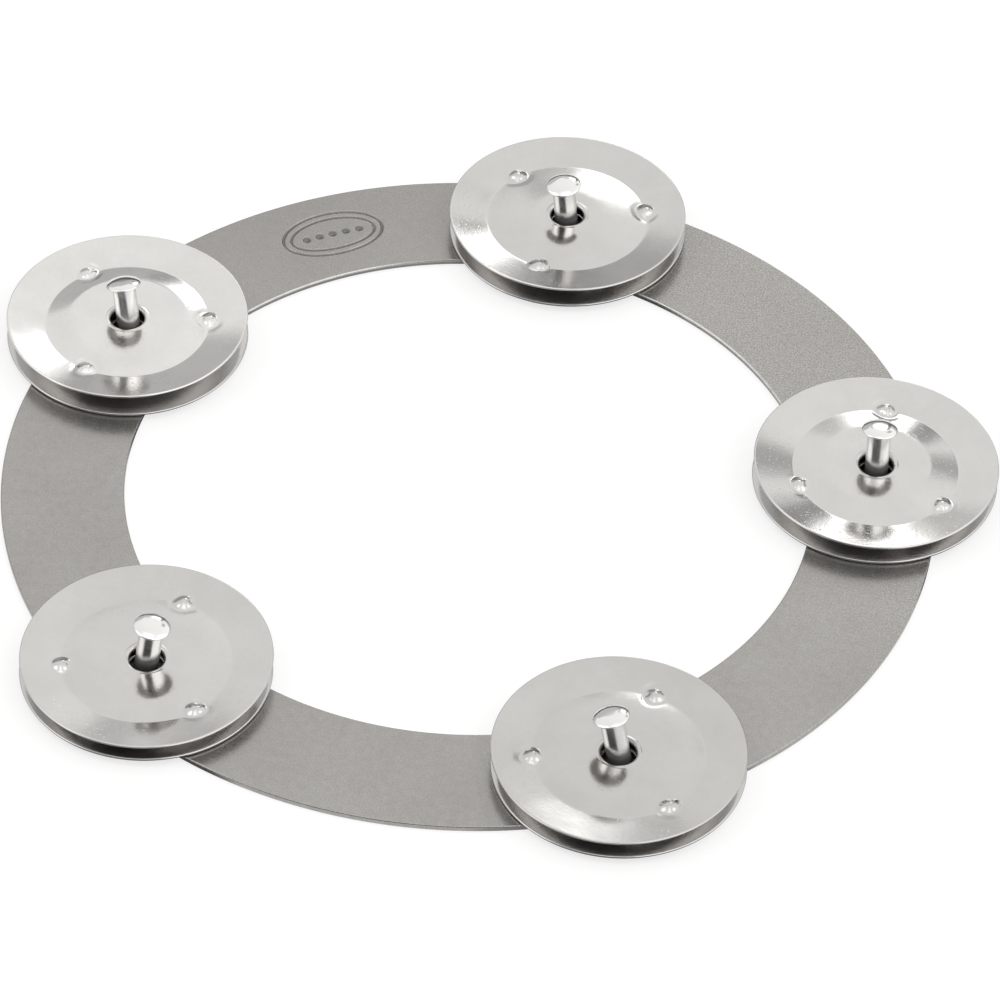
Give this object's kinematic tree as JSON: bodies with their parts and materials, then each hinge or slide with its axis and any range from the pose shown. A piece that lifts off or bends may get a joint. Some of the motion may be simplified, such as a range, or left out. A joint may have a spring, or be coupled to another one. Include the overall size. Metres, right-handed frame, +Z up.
{
  "type": "jingle ring",
  "caption": "Flat annular steel ring with upright headed rivets, each carrying a loose pair of stamped jingles; lies over a cymbal's cup and rattles when struck.",
  "frame": {"origin": "centre of the ring in the plane of its upper face, on which the jingles lie; the underside is at z = -1.0 mm", "axes": "+Z up, along the ring's axis and towards the rivet heads; +Y through the second pair of jingles, counted clockwise from above"},
  "size_m": [0.1678, 0.1628, 0.0116],
  "materials": {
    "ring_steel": "satin, finely tumbled",
    "jingle_nickel": "bright nickel plate with a faint orange peel",
    "rivet_steel": "bright"
  },
  "bodies": {
    "ring": {"ring": "ring_steel"},
    "rivet_1": {"rivet_1": "rivet_steel"},
    "lower_jingle_1": {"lower_jingle_1": "jingle_nickel"},
    "upper_jingle_1": {"upper_jingle_1": "jingle_nickel"},
    "rivet_2": {"rivet_2": "rivet_steel"},
    "lower_jingle_2": {"lower_jingle_2": "jingle_nickel"},
    "upper_jingle_2": {"upper_jingle_2": "jingle_nickel"},
    "rivet_3": {"rivet_3": "rivet_steel"},
    "lower_jingle_3": {"lower_jingle_3": "jingle_nickel"},
    "upper_jingle_3": {"upper_jingle_3": "jingle_nickel"},
    "rivet_4": {"rivet_4": "rivet_steel"},
    "lower_jingle_4": {"lower_jingle_4": "jingle_nickel"},
    "upper_jingle_4": {"upper_jingle_4": "jingle_nickel"},
    "rivet_5": {"rivet_5": "rivet_steel"},
    "lower_jingle_5": {"lower_jingle_5": "jingle_nickel"},
    "upper_jingle_5": {"upper_jingle_5": "jingle_nickel"}
  },
  "joints": [
    {"name": "rivet_1_turn", "type": "hinge", "parent": "ring", "child": "rivet_1", "pos_m": [-0.06361, 0.02024, 0], "axis": [0, 0, 1], "continuous": true},
    {"name": "lower_jingle_1_slide", "type": "slide", "parent": "rivet_1", "child": "lower_jingle_1", "axis": [-0.1812, 0.2179, 0.959], "range_m": [0, 0.0022]},
    {"name": "upper_jingle_1_slide", "type": "slide", "parent": "lower_jingle_1", "child": "upper_jingle_1", "axis": [-0.1812, 0.2179, 0.959], "range_m": [-0.0005, 0.0021]},
    {"name": "rivet_2_turn", "type": "hinge", "parent": "ring", "child": "rivet_2", "pos_m": [0, 0.06675, 0], "axis": [0, 0, 1], "continuous": true},
    {"name": "lower_jingle_2_slide", "type": "slide", "parent": "rivet_2", "child": "lower_jingle_2", "axis": [-0.0906, -0.0278, 0.9955], "range_m": [0, 0.0025]},
    {"name": "upper_jingle_2_slide", "type": "slide", "parent": "lower_jingle_2", "child": "upper_jingle_2", "axis": [-0.0906, -0.0278, 0.9955], "range_m": [0, 0.0025]},
    {"name": "rivet_3_turn", "type": "hinge", "parent": "ring", "child": "rivet_3", "pos_m": [0.06357, 0.02035, 0], "axis": [0, 0, 1], "continuous": true},
    {"name": "lower_jingle_3_slide", "type": "slide", "parent": "rivet_3", "child": "lower_jingle_3", "axis": [-0.0155, 0.1633, 0.9865], "range_m": [0, 0.0025]},
    {"name": "upper_jingle_3_slide", "type": "slide", "parent": "lower_jingle_3", "child": "upper_jingle_3", "axis": [-0.0155, 0.1633, 0.9865], "range_m": [0, 0.0025]},
    {"name": "rivet_4_turn", "type": "hinge", "parent": "ring", "child": "rivet_4", "pos_m": [0.03871, -0.05438, 0], "axis": [0, 0, 1], "continuous": true},
    {"name": "lower_jingle_4_slide", "type": "slide", "parent": "rivet_4", "child": "lower_jingle_4", "axis": [-0.2141, 0.0783, 0.9737], "range_m": [0, 0.0025]},
    {"name": "upper_jingle_4_slide", "type": "slide", "parent": "lower_jingle_4", "child": "upper_jingle_4", "axis": [-0.2141, 0.0783, 0.9737], "range_m": [0, 0.0024]},
    {"name": "rivet_5_turn", "type": "hinge", "parent": "ring", "child": "rivet_5", "pos_m": [-0.03871, -0.05438, 0], "axis": [0, 0, 1], "continuous": true},
    {"name": "lower_jingle_5_slide", "type": "slide", "parent": "rivet_5", "child": "lower_jingle_5", "axis": [0.1236, 0.0156, 0.9922], "range_m": [0, 0.0025]},
    {"name": "upper_jingle_5_slide", "type": "slide", "parent": "lower_jingle_5", "child": "upper_jingle_5", "axis": [0.1236, 0.0156, 0.9922], "range_m": [0, 0.0026]}
  ]
}
